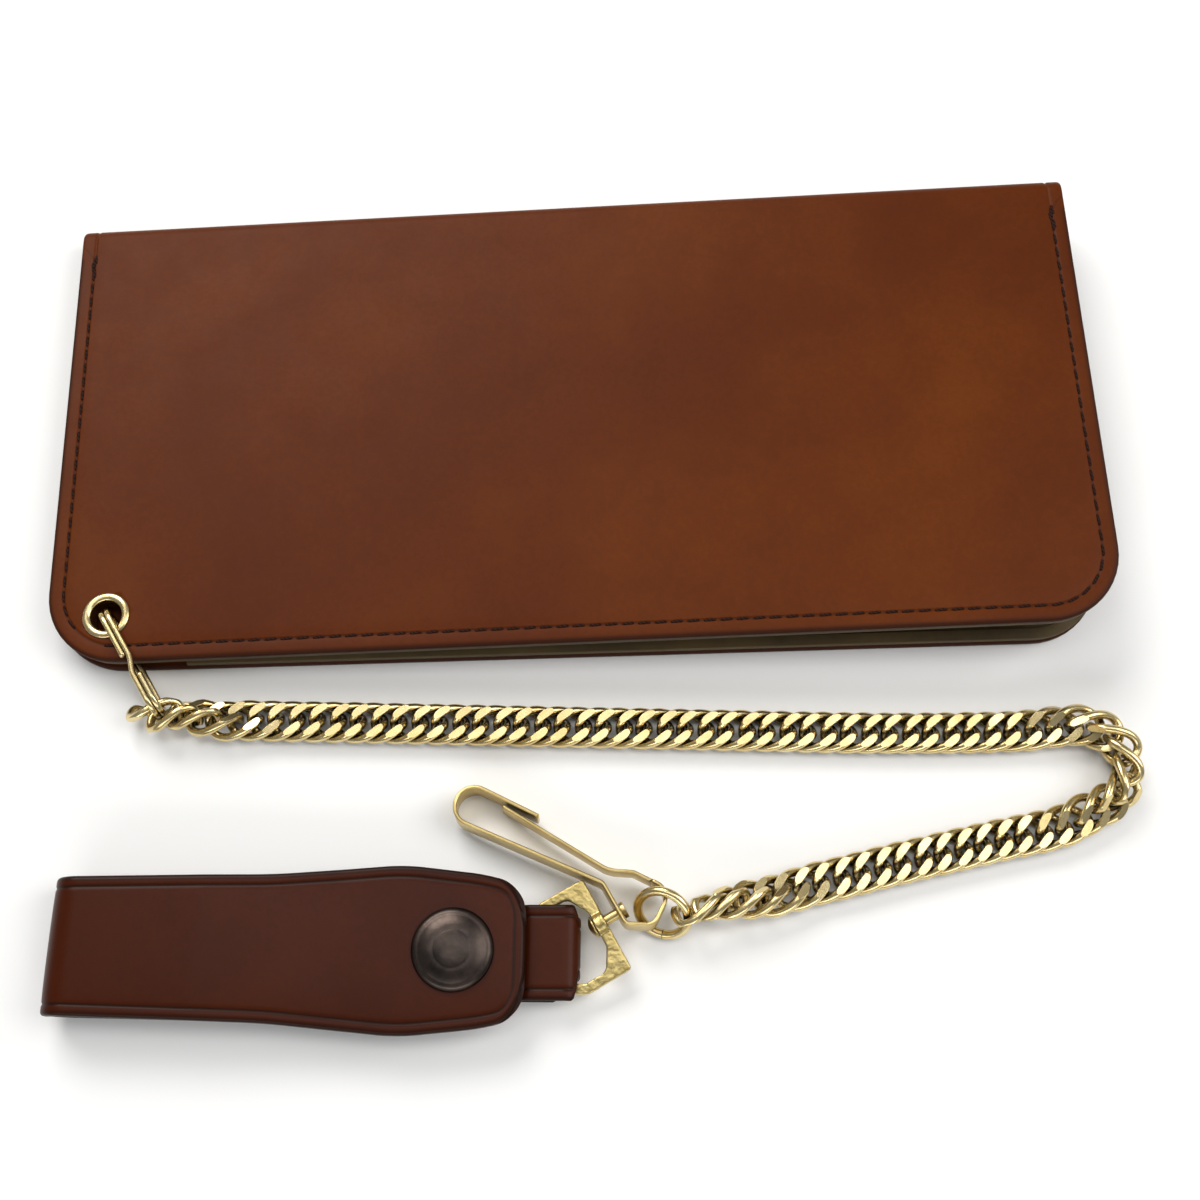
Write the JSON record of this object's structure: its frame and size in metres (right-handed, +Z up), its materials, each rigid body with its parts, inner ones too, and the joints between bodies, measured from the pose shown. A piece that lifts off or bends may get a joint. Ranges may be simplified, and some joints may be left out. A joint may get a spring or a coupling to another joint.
{
  "type": "chain wallet",
  "caption": "Long folding leather wallet with card pockets and zipped coin pocket, joined by a curb chain and swivel clip to a belt loop that closes with a snap.",
  "frame": {"origin": "middle of the back cover's underside, on the table", "axes": "+X along the spine towards the coin pocket's end, +Y from the open edge to the spine, +Z up through the closed wallet"},
  "size_m": [0.2023, 0.1623, 0.0164],
  "materials": {
    "wallet_leather": "waxed grain, burnished edges",
    "lining_leather": "matte, smooth",
    "gusset_leather": "matte",
    "belt_leather": "waxed grain, creased edges",
    "thread": "waxed thread",
    "tape": "woven",
    "chain_brass": "polished, worn",
    "clip_brass": "satin",
    "cast_brass": "rough cast",
    "snap_metal": "antiqued, worn at the edges"
  },
  "bodies": {
    "wallet_back": {"cover_back": "wallet_leather", "back_inner_panel": "lining_leather", "stitching_back": "thread", "coin_pocket_front": "lining_leather", "coin_pocket_gusset": "gusset_leather", "zipper_tape_upper": "tape", "zipper_tape_lower": "tape", "zipper_teeth_upper": "chain_brass", "zipper_teeth_lower": "chain_brass", "zipper_stops": "chain_brass"},
    "spine": {"cover_spine": "wallet_leather"},
    "wallet_front": {"cover_front": "wallet_leather", "front_inner_panel": "lining_leather", "stitching_front": "thread", "card_pocket_1": "lining_leather", "card_pocket_2": "lining_leather", "card_pocket_3": "lining_leather", "receipt_pocket": "lining_leather", "stitching_pockets": "thread", "eyelet": "chain_brass", "eyelet_washer": "chain_brass"},
    "slider": {"zipper_slider": "chain_brass"},
    "pull_tab": {"zipper_pull": "chain_brass"},
    "key_ring": {"split_ring": "chain_brass"},
    "links_01": {"chain_01": "chain_brass"},
    "links_02": {"chain_02": "chain_brass"},
    "links_03": {"chain_03": "chain_brass"},
    "links_04": {"chain_04": "chain_brass"},
    "links_05": {"chain_05": "chain_brass"},
    "links_06": {"chain_06": "chain_brass"},
    "links_07": {"chain_07": "chain_brass"},
    "links_08": {"chain_08": "chain_brass"},
    "links_09": {"chain_09": "chain_brass"},
    "links_10": {"chain_10": "chain_brass"},
    "links_11": {"chain_11": "chain_brass"},
    "links_12": {"chain_12": "chain_brass"},
    "jump_link": {"jump_ring": "chain_brass"},
    "clip": {"clip_frame": "clip_brass", "swivel_rivet": "clip_brass"},
    "gate": {"clip_gate": "clip_brass"},
    "dee": {"d_ring": "cast_brass"},
    "strap": {"belt_strap": "belt_leather", "snap_stud": "snap_metal", "snap_post": "snap_metal"},
    "flap": {"belt_flap": "belt_leather", "snap_cap": "snap_metal", "snap_socket": "snap_metal"}
  },
  "joints": [
    {"name": "spine_fold", "type": "hinge", "parent": "wallet_back", "child": "spine", "pos_m": [0, 0.0472, -0.0002], "axis": [1, 0, 0], "range_deg": [-88, 0]},
    {"name": "front_fold", "type": "hinge", "parent": "spine", "child": "wallet_front", "pos_m": [0, 0.0472, 0.0113], "axis": [0.999, 0, 0.045], "range_deg": [-88, 0]},
    {"name": "zipper_slide", "type": "slide", "parent": "wallet_back", "child": "slider", "axis": [-0.999, 0, -0.045], "range_m": [0, 0.057]},
    {"name": "pull_swing", "type": "hinge", "parent": "slider", "child": "pull_tab", "pos_m": [0.08461, 0.027, 0.01055], "axis": [0, 1, 0], "range_deg": [-4, 0]},
    {"name": "ring_swing", "type": "hinge", "parent": "wallet_front", "child": "key_ring", "pos_m": [-0.0885, -0.038, 0.006], "axis": [0, 0, 1], "range_deg": [-45, 0]},
    {"name": "links_01_lift", "type": "hinge", "parent": "key_ring", "child": "links_01", "pos_m": [-0.0797, -0.0558, 0.0044], "axis": [0.1045, -0.9945, 0], "range_deg": [0, 12]},
    {"name": "links_02_lift", "type": "hinge", "parent": "links_01", "child": "links_02", "pos_m": [-0.05873, -0.05793, 0.00213], "axis": [-0.0119, -0.999, 0.0422], "range_deg": [0, 12]},
    {"name": "links_03_lift", "type": "hinge", "parent": "links_02", "child": "links_03", "pos_m": [-0.0358, -0.0591, 0.002], "axis": [-0.0523, -0.9986, 0], "range_deg": [0, 12]},
    {"name": "links_04_lift", "type": "hinge", "parent": "links_03", "child": "links_04", "pos_m": [-0.01303, -0.0603, 0.002], "axis": [-0.0523, -0.9986, 0], "range_deg": [0, 12]},
    {"name": "links_05_lift", "type": "hinge", "parent": "links_04", "child": "links_05", "pos_m": [0.00974, -0.06149, 0.002], "axis": [-0.0523, -0.9986, 0], "range_deg": [0, 12]},
    {"name": "links_06_lift", "type": "hinge", "parent": "links_05", "child": "links_06", "pos_m": [0.03251, -0.06268, 0.002], "axis": [-0.0523, -0.9986, 0], "range_deg": [0, 12]},
    {"name": "links_07_lift", "type": "hinge", "parent": "links_06", "child": "links_07", "pos_m": [0.05528, -0.0638, 0.002], "axis": [-0.0377, -0.9993, 0], "range_deg": [0, 12]},
    {"name": "links_08_lift", "type": "hinge", "parent": "links_07", "child": "links_08", "pos_m": [0.07804, -0.06425, 0.00199], "axis": [0.0112, -0.9999, -0.001], "range_deg": [0, 12]},
    {"name": "links_09_turn", "type": "hinge", "parent": "links_08", "child": "links_09", "pos_m": [0.098, -0.06884, 0.00407], "axis": [0.1183, 0.3167, 0.9411], "range_deg": [0, 12]},
    {"name": "links_10_lift", "type": "hinge", "parent": "links_09", "child": "links_10", "pos_m": [0.08501, -0.08254, 0.00211], "axis": [-0.2412, 0.969, 0.0533], "range_deg": [0, 12]},
    {"name": "links_11_lift", "type": "hinge", "parent": "links_10", "child": "links_11", "pos_m": [0.06269, -0.08672, 0.002], "axis": [-0.1912, 0.9816, 0], "range_deg": [0, 12]},
    {"name": "links_12_lift", "type": "hinge", "parent": "links_11", "child": "links_12", "pos_m": [0.04026, -0.09138, 0.00219], "axis": [-0.2626, 0.963, -0.0601], "range_deg": [0, 6]},
    {"name": "jump_ring_swing", "type": "hinge", "parent": "links_12", "child": "jump_link", "pos_m": [0.0175, -0.0963, 0.0054], "axis": [0.1392, -0.9903, 0], "range_deg": [-5, 5]},
    {"name": "clip_swing", "type": "hinge", "parent": "jump_link", "child": "clip", "pos_m": [0.01305, -0.09551, 0.00445], "axis": [0.0023, 0.0779, 0.997], "range_deg": [-5, 5]},
    {"name": "gate_press", "type": "hinge", "parent": "clip", "child": "gate", "pos_m": [0.01164, -0.09034, 0.00405], "axis": [0.0023, 0.0779, 0.997], "range_deg": [0, 6], "stiffness_Nm_per_rad": 0.05},
    {"name": "swivel", "type": "hinge", "parent": "clip", "child": "dee", "pos_m": [0.00559, -0.09545, 0.00446], "axis": [-0.8821, -0.4572, -0.1132], "range_deg": [-140, 140]},
    {"name": "strap_turn", "type": "hinge", "parent": "dee", "child": "strap", "pos_m": [-0.00809, -0.10254, 0.00271], "axis": [0, 0, 1], "range_deg": [-3, 3]},
    {"name": "flap_open", "type": "hinge", "parent": "strap", "child": "flap", "pos_m": [-0.09404, -0.09824, 0.0049], "axis": [-0.0419, -0.9991, 0], "range_deg": [0, 100]}
  ],
  "couplings": [
    {"joint": "front_fold", "follows": "spine_fold", "ratio": 1}
  ]
}
